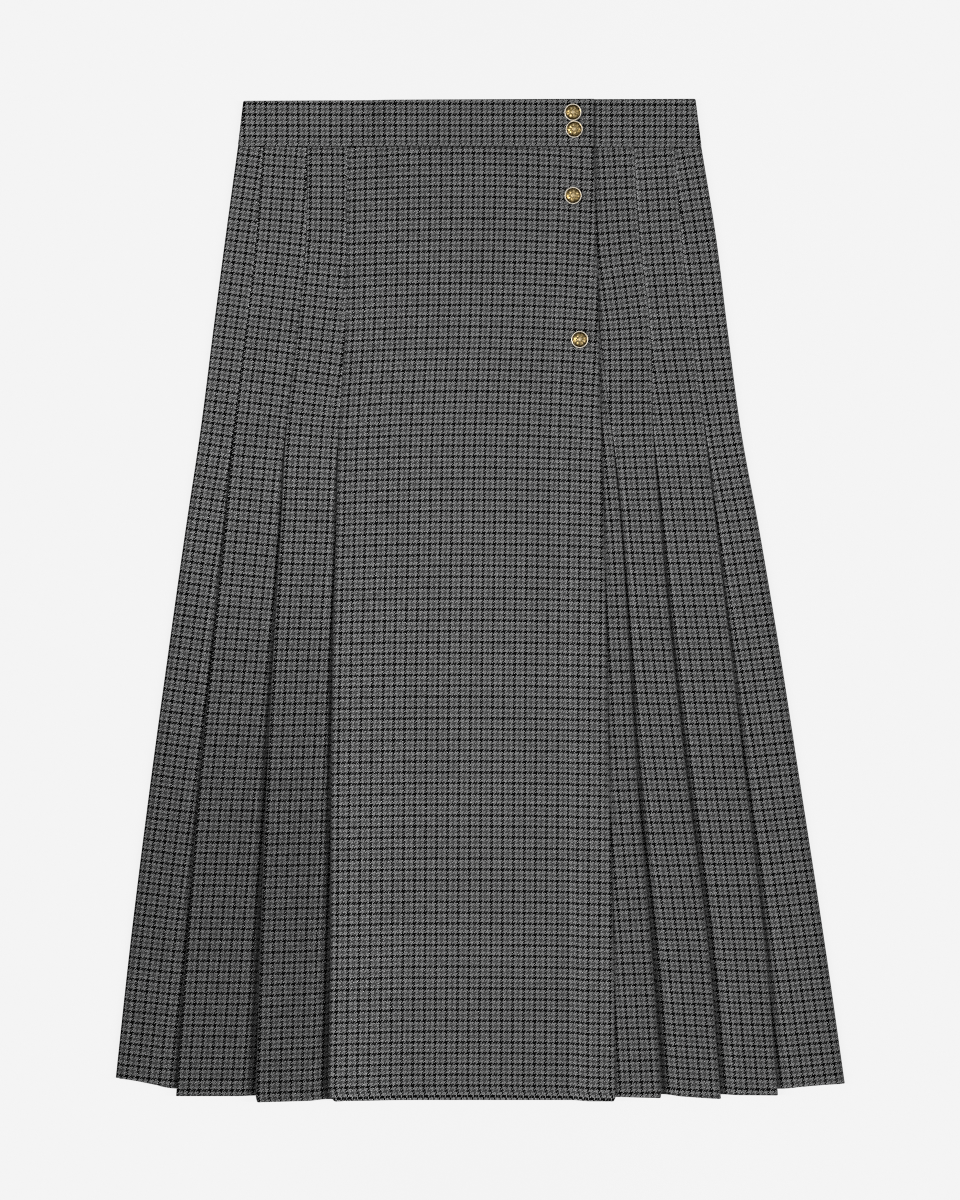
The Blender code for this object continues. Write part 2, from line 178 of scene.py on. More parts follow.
# How far a panel's rows turn from square to its fold, as a slope, and the stretch below the waist where
# the turn sets in
ROW_TURN = {
    "left_1": (0.065, 300.0, 560.0),
    "left_2": (0.065, 200.0, 500.0),
    "right_1": (0.045, 0.0, 300.0),
    "right_2": (0.12, 180.0, 400.0),
    "right_3": (0.11, 0.0, 300.0),
    "side_right": (0.05, 0.0, 150.0),
}
RIGHT_LEAN = -10.0            # the overlap's free edge leans this far across the check
LEAN_RUN = 300.0              # over this distance below the waist
ROW_ARCH = (4.2, 1.6)         # its rows arch by this much, above and below this stretch
ARCH_FROM = (200.0, 520.0)
GRAIN_LINE = np.linspace(-60, 960, 1021)    # every millimetre along a fold edge, and past its ends

# Soft hollows in the cloth: across, below the waist seam, lean, length, width and depth
HOLLOWS = (
    (-30, 130, 4, 170, 22, 0.5),
    (20, 250, -12, 210, 26, 0.6),
    (62, 330, 6, 150, 18, 0.5),
    (-70, 420, 8, 190, 24, 0.6),
    (8, 520, -24, 150, 20, 0.7),
    (70, 600, 10, 200, 26, 0.6),
    (-40, 690, -8, 170, 30, 0.7),
    (40, 760, 5, 120, 22, 0.6),
    (-232, 300, -14, 120, 14, 0.5),
    (-262, 560, -16, 200, 16, 0.7),
    (-208, 520, -12, 170, 14, 0.6),
    (-158, 640, -4, 180, 16, 0.7),
    (215, 260, 10, 110, 13, 0.5),
    (246, 520, 18, 180, 15, 0.6),
    (196, 600, 14, 160, 14, 0.6),
    (150, 480, 8, 130, 12, 0.5),
)

# ------------------------------ waistband
# Points along each part of the waistband, and rows up its height
BAND_STEPS = {"front": 40, "drop": 10, "left": 24, "turn": 12, "back": 40, "right": 50, "up": 12}
BAND_DROP = (5.0, 25.0)       # its free part comes down this far before its end, over this width

# ------------------------------ the check weave
YARN = 0.594                  # pitch of the yarns
REPEAT = 16                   # yarns in the check
FLOAT = 2.0                   # yarns that each yarn passes over, and then under
TWILL_STEP = 2                # where the twill's steps lie in the check
GRAIN_WANDER = 0.3            # the yarns leave their straight line by up to this much
YARN_SPREAD = 0.25            # shares by which single yarns, floats, fibres and areas differ in shade
SPECKLE = 0.5
FUZZ = 0.6
CLOUDS = 0.16
PEEK_FROM = 0.51              # a float lower than this shows a darker yarn below it
PEEK_RUN = 0.29
# painted shade: a yarn seen below a low float is drawn at this share of its colour
PEEK_SHADE = 0.65
YARN_RELIEF = 1.18            # painted shade: how much darker the gaps between the yarns are drawn
FULLER = 0.6                  # how much more a float shows over a black yarn
PAINTED_PLEAT_SHADE = {"left_pleats": 0.30, "right_pleats": 0.11}    # painted shade: how much darker the lower, flared part of these pieces is drawn
PAINTED_SHADE_FROM = (330.0, 720.0)
SEAM_SHADE_SPAN = (0.4, 1.8)        # painted shade of the crease under the waist seam: darkest down to the first of these distances below it, gone by the second
SEAM_SHADE = 0.25
WEFT_ROW_SHADOW = 0.18             # painted shadow: how much the thick black weft darkens its rows

# Reflectance of the yarn colours, in bands of four yarns
BLACK = 0.003
DARK_WARP = 0.118
DARK_WEFT = 0.15
LIGHT = 0.56
WARP_BANDS = (BLACK, LIGHT, DARK_WARP, LIGHT)
WEFT_BANDS = (BLACK, LIGHT, DARK_WEFT, LIGHT)
BAND_YARNS = REPEAT / 4
WOOL_TINT = (0.995, 1.0, 1.003)

# Scale, detail and roughness of the noise that bends the yarns, of fibres and of cloudy areas
WANDER_NOISE = (0.05, 3.0, 0.5)
FIBRE_NOISE = (1.7, 2.0, 0.6)
CLOUD_NOISE = (0.018, 3.0, 0.55)
SEED_SHIFT = {"bend": 40.0, "warp": 3.0, "weft": 7.0, "speck": 60.0, "fibre": 9.0, "cloud": 21.0}
PIECE_SEED = 0.37             # for each letter of a piece's name
BAND_SEED = 5.1

WOOL = {
    "Roughness": 0.88,
    "Specular IOR Level": 0.03,
    "Sheen Weight": 0.01,
    "Sheen Roughness": 0.5,
}
WOOL_BUMP = (0.5, 0.12)       # strength and depth
FIBRE_BUMP = 0.5              # how high the fibres stand on the yarns


# ============================== shape
def mix(a, b, share):
    return a + (b - a) * share


def even_shares(count):
    """Shares from 0 to 1 in this many equal steps."""
    return [step / count for step in range(count + 1)]


def smooth_step(start, end, value):
    share = np.clip((value - start) / (end - start), 0, 1)
    return share * share * (3 - 2 * share)


def smooth_max(a, b, blend=0.5):
    return (a + b + np.sqrt((a - b) ** 2 + blend * blend)) / 2


def along(row, below):
    """Smooth curve through a table's row, read at distances below the waist seam."""
    knots = np.array(BELOW_WAIST, float)
    values = np.array(row, float)
    slopes = np.diff(values) / np.diff(knots)
    ends = np.concatenate((slopes[:1], (slopes[:-1] + slopes[1:]) / 2, slopes[-1:]))
    i = np.clip(np.searchsorted(knots, below) - 1, 0, len(knots) - 2)
    gap = knots[i + 1] - knots[i]
    t = (below - knots[i]) / gap
    bend_in = (ends[i] * (1 - t) - ends[i + 1] * t) * gap * t * (1 - t)
    return mix(values[i], values[i + 1], t * t * (3 - 2 * t)) + bend_in


def edge(name, below):
    return along(EDGE_X[name], below)


def edge_slope(name, below):
    reach = 6.0
    return (edge(name, below + reach) - edge(name, below - reach)) / (2 * reach)


def cut_back(name, below):
    """How far a fold's corner is rounded away near its hem."""
    if name not in CORNER:
        return 0.0 * below
    width, height = CORNER[name]
    share = np.clip((below - HEM_END[name] + height) / height, 0, 1)
    return width * (1 - np.sqrt(1 - share * share))


HEM_END = {name: own for name, (own, covered) in HEM.items()}
HEM_END["free"] = HEM["left_3"][1]


def underfold(below):
    return along(UNDERFOLD, below)


def lift(name, below):
    if name not in EDGE_LIFT:
        return 0.0 * below
    return mix(*LIFT_SHARE[name], smooth_step(*LIFT_FROM, below)) * along(EDGE_LIFT[name], below)


def looseness(below):
    return smooth_step(STITCHED_TO, OPEN_FROM, below)


def openness(below):
    return smooth_step(OPEN_FROM, BELOW_WAIST[-1], below)


def waist_rise(below):
    return 1 - smooth_step(0, RISE_RUN, below)


def waist_y(x):
    return WAIST_Y + WAIST_TILT * x


def seam_drop(below):
    return SEAM_DROP * (1 - smooth_step(-TUCK, SEAM_RUN, below))


def hollows(x, below):
    """Depth of the soft hollows at a point of the front."""
    depth = 0.0 * x
    for centre_x, centre_below, lean, length, width, deep in HOLLOWS:
        down = (below - centre_below) / (length / 2)
        across = (x - centre_x - lean * down) / width
        depth = depth + deep * np.exp(-across ** 2 - down ** 4)
    return depth


def half_turn(centre_u, centre_z, radius, start_degrees, turn, share):
    angle = math.radians(start_degrees + turn * 180.0 * share)
    return centre_u + radius * math.cos(angle), centre_z + radius * math.sin(angle)


def outer_turn(name, sign, below, share):
    """A fold edge, from the underfold below it up to the panel above it."""
    up = lift(name, below)
    radius = TURN + LOOSE_TURN * up
    u = sign * edge(name, below) + cut_back(name, below)
    return half_turn(u + WALL / 2 + radius, STACK_Z + up - radius, radius, -90, -1, share)


def inner_turn(u, share):
    """The hidden fold at the underfold's far end."""
    return half_turn(u - WALL / 2 - TURN, BASE_Z + TURN, TURN, -90, 1, share)


def outer_place(panel, share):
    return lambda below: outer_turn(panel.name, panel.sign, below, share)


def straight(far, near, share):
    """Place at a share of the straight way from one place to another."""
    def place(below):
        far_u, far_z = far(below)
        near_u, near_z = near(below)
        return mix(far_u, near_u, share), mix(far_z, near_z, share)
    return place


# One line of points from waist to hem, on the panel whose grain it follows
Column = namedtuple("Column", "hem place panel")


class Panel:
    """One panel between its own edge and the edge that covers it; u is x, or -x on the right side."""

    def __init__(self, name, cover, sign):
        self.name = name
        self.cover = cover
        self.sign = sign

    def start(self, below):
        return self.sign * edge(self.name, below)

    def end(self, below):
        if self.cover == "underlap":
            return self.sign * (edge("free", below) - UNDERLAP_SEAM)
        return self.sign * edge(self.cover, below)

    def crown(self, below):
        """Where the flat top begins, beyond the turned edge."""
        if self.name in EDGE_LIFT:
            return self.start(below) + WALL / 2 + TURN + LOOSE_TURN * lift(self.name, below)
        return self.start(below) + WALL / 2 + SIDE_TURN

    def dip(self, below):
        """Where the panel dives under the next edge: a thin line by a seam, a wide fold below it."""
        end = self.end(below)
        loose = looseness(below)
        mouth = mix(*FOLD_MOUTH, openness(below))
        ditch = DITCH.get(self.cover, DITCH_ELSEWHERE)
        return end - mix(ditch, mouth, loose), end + mix(*DIP_PAST, loose)

    def height(self, u, below):
        start = self.start(below)
        left = np.clip(1 - (u - start) / (self.end(below) - start), 0, 1)
        low = BASE_Z + 0.0 * below
        if self.cover == "underlap":
            low = low + WAIST_RISE * waist_rise(below)
        high, end = self.dip(below)
        shelf = 1 - smooth_step(high, end, u)
        sunk = hollows(self.sign * u, below) * shelf * (1 - left ** HOLLOW_FADE)
        puff = self.puff(below) * mix(mix(*PUFF_LEFT, openness(below)), 1, left ** PUFF_FADE)
        return low + (STACK_Z - low + puff) * shelf - sunk - seam_drop(below)

    def puff(self, below):
        """How far the panel stands up above a pressed one."""
        return lift(self.name, below) if self.name in EDGE_LIFT else SIDE_PUFF * looseness(below)

    def hem_at(self, share):
        own, covered = HEM[self.name]
        return mix(own, covered, smooth_step(0, 1, share))

    def far(self, below):
        """The last point before the hidden fold."""
        if self.cover == "underlap":
            return self.end(below) - AIR / 2
        last = WALL / 2 + TURN if self.cover != "left_3" else 0.0
        return self.end(below) + underfold(below) - last

    def across(self, first, last, share):
        """Place at a share of the way between two of the panel's lines."""
        def place(below):
            high, low = self.dip(below)
            lines = {"crown": self.crown(below), "high": high, "low": low, "far": self.far(below)}
            u = mix(lines[first], lines[last], share)
            return u, self.height(u, below)
        return place

    def columns(self):
        """From the flat top's start to under the next edge."""
        runs = (
            ("crown", "high", even_shares(PANEL_STEPS)[1:-1]),
            ("high", "low", even_shares(DIP_STEPS)),
            ("low", "far", FAR_SHARES),
        )
        made = []
        for first, last, shares in runs:
            for share in shares:
                hem = self.hem_at(mix(HEM_AT[first], HEM_AT[last], share))
                made.append(Column(hem, self.across(first, last, share), self))
        return made

    def grain(self, out, below):
        """Cloth coordinates at a distance out from the fold edge, which the warp runs along."""
        slope = self.sign * edge_slope(self.name, below)
        met = below + out * slope / (1 + slope * slope)
        slope_there = self.sign * edge_slope(self.name, met)
        shift = self.sign * (edge(self.name, met) - edge(self.name, below))
        lengths = np.hypot(1.0, edge_slope(self.name, GRAIN_LINE))
        travelled = np.concatenate(([0.0], np.cumsum((lengths[1:] + lengths[:-1]) / 2)))
        down = np.interp(met, GRAIN_LINE, travelled)
        turn, first, last = ROW_TURN.get(self.name, (0.0, 0.0, 1.0))
        turned = turn * smooth_step(first, last, below) * out
        return (out - shift) * np.hypot(1.0, slope_there), down + turned


def to_fold_edge(far, panel, hidden_hem):
    """Columns along the underfold of a panel and round its fold edge."""
    own_hem = HEM[panel.name][0]
    near = outer_place(panel, 0.0)
    made = []
    for share in UNDERFOLD_SHARES:
        made.append(Column(mix(hidden_hem, own_hem, share), straight(far, near, share), panel))
    for share in even_shares(ARC_STEPS):
        made.append(Column(own_hem, outer_place(panel, share), panel))
    return made


def fold_columns(panel, after):
    """The turn under a cover, its underfold and the turn up to its fold edge."""
    hidden_hem = (HEM[panel.name][1] + HEM[after.name][0]) / 2

    def inner(share):
        return lambda below: inner_turn(after.sign * edge(after.name, below) + underfold(below), share)

    shares = even_shares(ARC_STEPS)
    made = [Column(hidden_hem, inner(share), panel) for share in shares[1:ARC_STEPS // 2]]
    made += [Column(hidden_hem, inner(share), after) for share in shares[ARC_STEPS // 2:]]
    return made + to_fold_edge(inner(1.0), after, hidden_hem)


def pleated_side(names, last_cover, sign):
    """Columns of a pleated piece from its side seam inwards."""
    covers = list(names[1:]) + [last_cover]
    panels = [Panel(name, cover, sign) for name, cover in zip(names, covers)]
    side = panels[0]
    side_hem = HEM[side.name][0]

    def seam_place(below):
        return side.start(below) + SIDE_SEAM - AIR / 2, FLOOR_Z + 0.0 * below

    def side_place(share):
        def place(below):
            centre_u = side.start(below) + WALL / 2 + SIDE_TURN
            u, z = half_turn(centre_u, FLOOR_Z + SIDE_TURN, SIDE_TURN, -90, -1, share)
            return u, z - seam_drop(below) * share
        return place

    made = [Column(side_hem, seam_place, side)]
    made += [Column(side_hem, side_place(share), side) for share in even_shares(2 * ARC_STEPS)]
    for panel, after in zip(panels, panels[1:] + [None]):
        made += panel.columns()
        if after:
            made += fold_columns(panel, after)
    return made


RIGHT_INNER = Panel("right_1", "underlap", -1)


def underlap_end(below):
    return edge("left_3", below) + UNDERLAP_INSET


def lap_ramp(x, below):
    """Share of the rise onto the underlap's end."""
    end = underlap_end(below)
    return smooth_step(end - LAP_RAMP[0], end - LAP_RAMP[1], x)


def beneath_overlap(x, below):
    """Height of the layer that the overlap lies on."""
    lap = BASE_Z + WAIST_RISE * waist_rise(below) * lap_ramp(x, below)
    return np.where(x > edge("free", below) - UNDERLAP_SEAM, RIGHT_INNER.height(-x, below), lap)


def overlap_height(x, below):
    fold = edge("left_3", below)
    depth = underfold(below)
    settle = np.clip(1 - (x - fold) / FLAP_RUN, 0, 1)
    shelf = 1 - smooth_step(fold + depth + FLAP_RAMP[0], fold + depth + FLAP_RAMP[1], x)
    own = BASE_Z + LAYER + LAYER * shelf + lift("left_3", below) * settle ** SETTLE_FADE
    rest = (OVERLAP_REST + WAIST_RISE * REST_RISE * waist_rise(below)) * lap_ramp(x, below)
    rested = beneath_overlap(x, below) + LAYER + rest
    free = smooth_step(FREE_STRIP, 0, edge("free", below) - x)
    sunk = hollows(x, below) * (1 - settle ** HOLLOW_FADE) * (1 - free)
    curl = FREE_CURL * mix(1.0, CURL_LEFT, smooth_step(*CURL_FROM, below)) * free ** SETTLE_FADE
    return smooth_max(own, rested) + curl - OVERLAP_SUNK * sunk - seam_drop(below)


class Overlap:
    """The overlap's panel, whose grain runs along its fold at the left and leans at the right."""
    name = "left_3"
    sign = 1

    def grain(self, out, below):
        """Cloth coordinates at a distance out from the fold edge."""
        fold = edge(self.name, below)
        width = edge("free", below) - fold
        share = np.clip(out / width, 0, 1)
        left_shift = fold - EDGE_X[self.name][0]
        right_shift = RIGHT_LEAN * smooth_step(0, LEAN_RUN, below)
        arch = mix(*ROW_ARCH, smooth_step(*ARCH_FROM, below))
        return fold + out - mix(left_shift, right_shift, share), below + arch * (1 - (2 * share - 1) ** 2)


OVERLAP = Overlap()


def overlap_columns():
    """The overlap from its hidden seam, round its fold edge and across the front to its free edge."""
    own_hem, free_hem = HEM[OVERLAP.name]
    hidden_hem = (HEM["left_2"][1] + own_hem) / 2

    def seam_place(below):
        return edge(OVERLAP.name, below) + underfold(below), BASE_Z + LAYER + 0.0 * below

    def top(share):
        def place(below):
            crown = outer_place(OVERLAP, 1.0)(below)[0]
            free = edge("free", below) - cut_back("free", below)
            x = mix(crown, free, share)
            return x, overlap_height(x, below)
        return place

    made = [Column(hidden_hem, seam_place, OVERLAP)]
    made += to_fold_edge(seam_place, OVERLAP, hidden_hem)
    for share in even_shares(OVERLAP_STEPS)[1:]:
        made.append(Column(mix(own_hem, free_hem, share), top(share), OVERLAP))
    return made


def underlap_columns():
    """The underlap from its end under the overlap to its seam."""
    def place_at(share):
        def place(below):
            seam = edge("free", below) - UNDERLAP_SEAM - AIR / 2
            x = mix(underlap_end(below), seam, share)
            return x, BASE_Z + WAIST_RISE * waist_rise(below)
        return place

    made = []
    for share in even_shares(UNDERLAP_STEPS):
        hem = HEM["right_1"][1] - UNDERLAP_SLOPE * (1 - share)
        made.append(Column(hem, place_at(share), None))
    return made


def back_columns():
    """The back panel between the two side seams, flat on the surface."""
    def place_at(share):
        def place(below):
            left = edge("side_left", below) + SIDE_SEAM + AIR / 2
            right = edge("side_right", below) - SIDE_SEAM - AIR / 2
            return mix(left, right, share), FLOOR_Z + 0.0 * below
        return place

    left_hem, middle_hem, right_hem = BACK_HEM
    made = []
    for share in even_shares(BACK_STEPS):
        side_hem = mix(left_hem, right_hem, share)
        hem = mix(side_hem, middle_hem, 4 * share * (1 - share))
        made.append(Column(hem, place_at(share), None))
    return made


# ============================== grids and meshes
def rounding(half):
    """Distance short of an edge and share of full thickness, step by step round that edge."""
    angles = [math.radians(degrees) for degrees in ROUNDING]
    return [(half * (1 - math.sin(angle)), math.cos(angle)) for angle in angles]


def row_places():
    """Share of the way to the hem, distance short of it, and share of full thickness, for each row."""
    rows = [(share, WALL / 2, 1.0) for share in even_shares(ROWS)]
    rows += [(1.0, short, fat) for short, fat in rounding(WALL / 2)]
    return np.array(rows)


class Sheet:
    """Middle surface of a piece as a grid, with its grain coordinates and its half thickness."""

    def __init__(self, columns, sign, first_below):
        shares, shorts, fats = row_places().T
        size = (len(shares), len(columns))
        self.spot = np.zeros(size + (3,))
        self.below = np.zeros(size)
        self.half = np.repeat(WALL / 2 * fats[:, None], len(columns), axis=1)
        for c, column in enumerate(columns):
            below = mix(first_below, column.hem, shares) - shorts
            u, z = column.place(below)
            self.below[:, c] = below
            self.spot[:, c, 0] = sign * u
            self.spot[:, c, 1] = waist_y(sign * u) - below
            self.spot[:, c, 2] = z
        self.grain = self.find_grain(columns, sign)

    def find_grain(self, columns, sign):
        """Cloth coordinates in millimetres, measured from each panel's own fold edge."""
        steps = np.hypot(np.diff(self.spot[:, :, 0], axis=1), np.diff(self.spot[:, :, 2], axis=1))
        travel = np.concatenate((np.zeros((len(steps), 1)), np.cumsum(steps, axis=1)), axis=1)
        grain = np.zeros(travel.shape + (2,))
        for panel in dict.fromkeys(column.panel for column in columns):
            mine = [c for c, column in enumerate(columns) if column.panel is panel]
            below = self.below[:, mine]
            if panel is None:
                grain[:, mine, 0] = self.spot[:, mine, 0]
                grain[:, mine, 1] = below
                continue
            fold = mine[int(np.argmin(sign * self.spot[0, mine, 0]))]
            out = travel[:, mine] - travel[:, [fold]]
            a, b = panel.grain(out, below)
            grain[:, mine, 0] = sign * (a - FOLD_IN_CHECK.get(panel.name, 0.0))
            grain[:, mine, 1] = b
        return grain


def surface_normals(spot):
    across = np.gradient(spot, axis=1)
    down = np.gradient(spot, axis=0)
    normals = np.cross(down, across)
    length = np.linalg.norm(normals, axis=2, keepdims=True)
    return normals / np.maximum(length, 1e-9)


def shell(name, spot, half, grain, flip=False):
    """Closed shell of the given half thickness about a grid of points."""
    normals = surface_normals(spot)
    if flip:
        normals = -normals
    rows, columns = spot.shape[:2]
    upper = spot + normals * half[:, :, None]
    lower = spot - normals * half[:, :, None]
    points = np.concatenate((upper.reshape(-1, 3), lower.reshape(-1, 3))) * MM
    index = np.arange(rows * columns).reshape(rows, columns)
    other = index + rows * columns
    quads = [
        np.stack((index[:-1, :-1], index[1:, :-1], index[1:, 1:], index[:-1, 1:]), axis=-1),
        np.stack((other[:-1, :-1], other[:-1, 1:], other[1:, 1:], other[1:, :-1]), axis=-1),
    ]
    for r, forward in ((0, True), (rows - 1, False)):
        a, b, c, d = index[r, :-1], index[r, 1:], other[r, 1:], other[r, :-1]
        quads.append(np.stack((a, b, c, d) if forward else (d, c, b, a), axis=-1))
    for c, forward in ((0, False), (columns - 1, True)):
        p, q, r, s = index[:-1, c], index[1:, c], other[1:, c], other[:-1, c]
        quads.append(np.stack((p, q, r, s) if forward else (s, r, q, p), axis=-1))
    faces = np.concatenate([quad.reshape(-1, 4) for quad in quads])
    if flip:
        faces = faces[:, ::-1]
    mesh = bpy.data.meshes.new(name)
    mesh.from_pydata(points.tolist(), [], faces.tolist())
    layer = mesh.uv_layers.new(name="Cloth")
    both = np.concatenate((grain.reshape(-1, 2), grain.reshape(-1, 2)))
    corner = np.zeros(len(mesh.loops), dtype=np.int32)
    mesh.loops.foreach_get("vertex_index", corner)
    layer.data.foreach_set("uv", both[corner].astype(np.float32).ravel())
    mesh.validate()
    mesh.update()
    mesh.shade_smooth()
    return mesh


def place_in_scene(name, data):
    made = bpy.data.objects.new(name, data)
    bpy.context.scene.collection.objects.link(made)
    return made


def add_piece(name, mesh, material, node):
    mesh.materials.append(material)
    piece = place_in_scene(name, mesh)
    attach(piece, "root")
    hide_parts(node)
    return piece


# ============================== materials
class Net:
    """Short calls for building a material's nodes."""

    def __init__(self, material):
        material.use_nodes = True
        self.tree = material.node_tree
        self.shader = self.tree.nodes["Principled BSDF"]

    def node(self, kind, *values, **settings):
        """A new node with the given settings, its inputs fed in their order."""
        made = self.tree.nodes.new(kind)
        for key, setting in settings.items():
            setattr(made, key, setting)
        for socket, value in zip(made.inputs, values):
            self.feed(socket, value)
        return made

    def feed(self, socket, value):
        if hasattr(value, "node"):
            self.tree.links.new(value, socket)
        else:
            socket.default_value = value

    def math(self, operation, *values):
        return self.node("ShaderNodeMath", *values, operation=operation).outputs[0]

    def times(self, first, *others):
        for other in others:
            first = self.math("MULTIPLY", first, other)
        return first

    def scaled(self, value, factor, offset):
        return self.math("MULTIPLY_ADD", value, factor, offset)

    def mix(self, a, b, share):
        """a + (b - a) * share for numbers."""
        return self.scaled(share, self.math("SUBTRACT", b, a), a)

    def clamped(self, value):
        return self.node("ShaderNodeClamp", value).outputs[0]

    def ramp(self, value, *ends):
        """Smooth change while the value goes from start to end; the ends are start, end, low and high."""
        return self.node("ShaderNodeMapRange", value, *ends, interpolation_type="SMOOTHSTEP").outputs[0]

    def join(self, x, y, z):
        return self.node("ShaderNodeCombineXYZ", x, y, z).outputs[0]

    def split(self, vector):
        return self.node("ShaderNodeSeparateXYZ", vector).outputs

    def noise(self, vector, scale, detail, rough):
        made = self.node("ShaderNodeTexNoise", vector)
        for name, value in (("Scale", scale), ("Detail", detail), ("Roughness", rough)):
            made.inputs[name].default_value = value
        return made.outputs["Fac"]

    def chance(self, vector):
        return self.node("ShaderNodeTexWhiteNoise", vector, noise_dimensions="3D").outputs["Value"]

    def grey(self, value, tint):
        parts = [self.times(value, part) for part in tint]
        return self.node("ShaderNodeCombineColor", *parts, mode="RGB").outputs[0]

    def settings(self, values):
        for name, value in values.items():
            self.shader.inputs[name].default_value = value

    def bump(self, height, strength, depth):
        made = self.node("ShaderNodeBump")
        made.inputs["Strength"].default_value = strength
        made.inputs["Distance"].default_value = depth * MM
        self.feed(made.inputs["Height"], height)
        self.feed(self.shader.inputs["Normal"], made.outputs[0])


def yarn_shade(net, number, bands, row, seed):
    """Shade of a yarn by its number in the check; each yarn differs a little."""
    place = net.math("FLOORED_MODULO", number, float(REPEAT))
    band = net.math("FLOOR", net.math("DIVIDE", place, BAND_YARNS))
    first = net.math("COMPARE", band, 0.0, 0.5)
    third = net.math("COMPARE", band, 2.0, 0.5)
    shade = net.mix(net.mix(bands[1], bands[2], third), bands[0], first)
    uneven = net.math("SUBTRACT", net.chance(net.join(number, row, seed)), 0.5)
    return net.times(shade, net.scaled(uneven, YARN_SPREAD, 1.0))


def round_over(net, across):
    """Height of a round yarn at a share of the way across it: none at its sides, 1 in the middle."""
    off = net.scaled(across, 2.0, -1.0)
    return net.math("SUBTRACT", 1.0, net.times(off, off))


def twill(net, u, v, seed):
    """Shade, height and speckle of the twill at a place counted in yarns."""
    warp = net.math("FLOOR", u)
    weft = net.math("FLOOR", v)
    in_warp = net.math("FRACT", u)
    in_weft = net.math("FRACT", v)
    diagonal = net.math("ADD", net.math("ADD", warp, weft), float(TWILL_STEP))
    phase = net.math("FLOORED_MODULO", diagonal, 2 * FLOAT)
    warp_up = net.math("LESS_THAN", phase, FLOAT - 0.5)
    warp_shade = yarn_shade(net, warp, WARP_BANDS, SEED_SHIFT["warp"], seed)
    weft_shade = yarn_shade(net, weft, WEFT_BANDS, SEED_SHIFT["weft"], seed)
    shade = net.mix(weft_shade, warp_shade, warp_up)
    under = net.mix(warp_shade, weft_shade, warp_up)

    along_warp = net.times(net.math("ADD", phase, in_weft), 1 / FLOAT)
    weft_phase = net.math("SUBTRACT", phase, FLOAT)
    along_weft = net.times(net.math("ADD", weft_phase, in_warp), 1 / FLOAT)
    warp_high = net.times(round_over(net, in_warp), round_over(net, along_warp))
    weft_high = net.times(round_over(net, in_weft), round_over(net, along_weft))
    high = net.math("MAXIMUM", net.mix(weft_high, warp_high, warp_up), 0.0)

    darker_below = net.clamped(net.math("SUBTRACT", 1.0, net.math("DIVIDE", under, shade)))
    covered = net.clamped(net.scaled(high, 1 / PEEK_RUN, -PEEK_FROM / PEEK_RUN))
    peek = net.times(darker_below, net.math("SUBTRACT", 1.0, covered))
    fuller = net.scaled(under, -FULLER / LIGHT, 1 + FULLER)
    # painted shade: where a float is low, the darker yarn below it shows, drawn darker still
    shade = net.mix(net.times(shade, fuller), net.times(under, PEEK_SHADE), peek)
    # painted shadow of the thick black weft over its rows
    weft_row_shadow = net.scaled(weft_shade, WEFT_ROW_SHADOW / LIGHT, 1 - WEFT_ROW_SHADOW)
    # painted shade in the gaps between the yarns
    yarn_gap_shade = net.math("MAXIMUM", net.scaled(high, YARN_RELIEF, 1 - YARN_RELIEF), 0.0)
    shade = net.times(shade, weft_row_shadow, yarn_gap_shade)
    return shade, high, net.chance(net.join(warp, weft, seed + SEED_SHIFT["speck"]))


def painted_seam_shade(net):
    """Factor of painted shade that darkens the cloth in the crease just below the waist seam."""
    x, y, _ = net.split(net.node("ShaderNodeTexCoord").outputs["Object"])
    seam = net.scaled(x, WAIST_TILT, WAIST_Y * MM)
    below_seam = net.math("DIVIDE", net.math("SUBTRACT", seam, y), MM)
    return net.ramp(below_seam, *SEAM_SHADE_SPAN, SEAM_SHADE, 1.0)


def in_yarns(net, distance, noise):
    """A distance along the cloth, bent a little, as a number of yarns."""
    bend = net.math("SUBTRACT", noise, 0.5)
    return net.math("DIVIDE", net.scaled(bend, 2 * GRAIN_WANDER, distance), YARN)


def check_cloth(name, seed, pleat_shade=0.0, sewn=True):
    """Twill of black, dark and light grey wool yarns in a small check."""
    material = bpy.data.materials.new(name)
    net = Net(material)
    across, down, _ = net.split(net.node("ShaderNodeUVMap", uv_map="Cloth").outputs[0])
    u = in_yarns(net, across, net.noise(net.join(across, down, seed), *WANDER_NOISE))
    v = in_yarns(net, down, net.noise(net.join(across, down, seed + SEED_SHIFT["bend"]), *WANDER_NOISE))
    shade, high, speck = twill(net, u, v, seed)
    fibre = net.noise(net.join(u, v, seed + SEED_SHIFT["fibre"]), *FIBRE_NOISE)
    cloudy = net.noise(net.join(u, v, seed + SEED_SHIFT["cloud"]), *CLOUD_NOISE)
    for cause, spread in ((speck, SPECKLE), (fibre, FUZZ), (cloudy, CLOUDS)):
        shade = net.times(shade, net.scaled(cause, spread, 1 - spread / 2))
    # painted shade: the flared pieces are drawn darker towards the hem, over the stretch in
    # PAINTED_SHADE_FROM
    shade = net.times(shade, net.ramp(down, *PAINTED_SHADE_FROM, 1.0, 1.0 - pleat_shade))
    # painted shade in the crease under the waist seam
    if sewn:
        shade = net.times(shade, painted_seam_shade(net))
    net.feed(net.shader.inputs["Base Color"], net.grey(shade, WOOL_TINT))
    net.settings(WOOL)
    net.bump(net.scaled(fibre, FIBRE_BUMP, high), *WOOL_BUMP)
    return material


GOLD_STOPS = (                # patina, then red, green and blue
    (0.0, 1.0, 0.92, 0.78),
    (0.25, 0.80, 0.62, 0.33),
    (0.6, 0.36, 0.25, 0.085),
    (1.0, 0.035, 0.02, 0.006),
)
BRASS_NOISE = (850.0, 2.0, 0.6)  # scale, detail and roughness of the specks in the patina
BRASS_UNEVEN = 1.6            # how strong they are
RIM_KEPT = 3.0                # they grow with this times the patina, so the bright rim has none
BRASS_ROUGH = (0.42, -0.1)    # roughness of the bright plate, and its change to the dark one
BRASS_METAL = (0.3, 0.65)     # and metallic, the same way
BRASS_BUMP = (0.6, 0.2)       # strength and depth


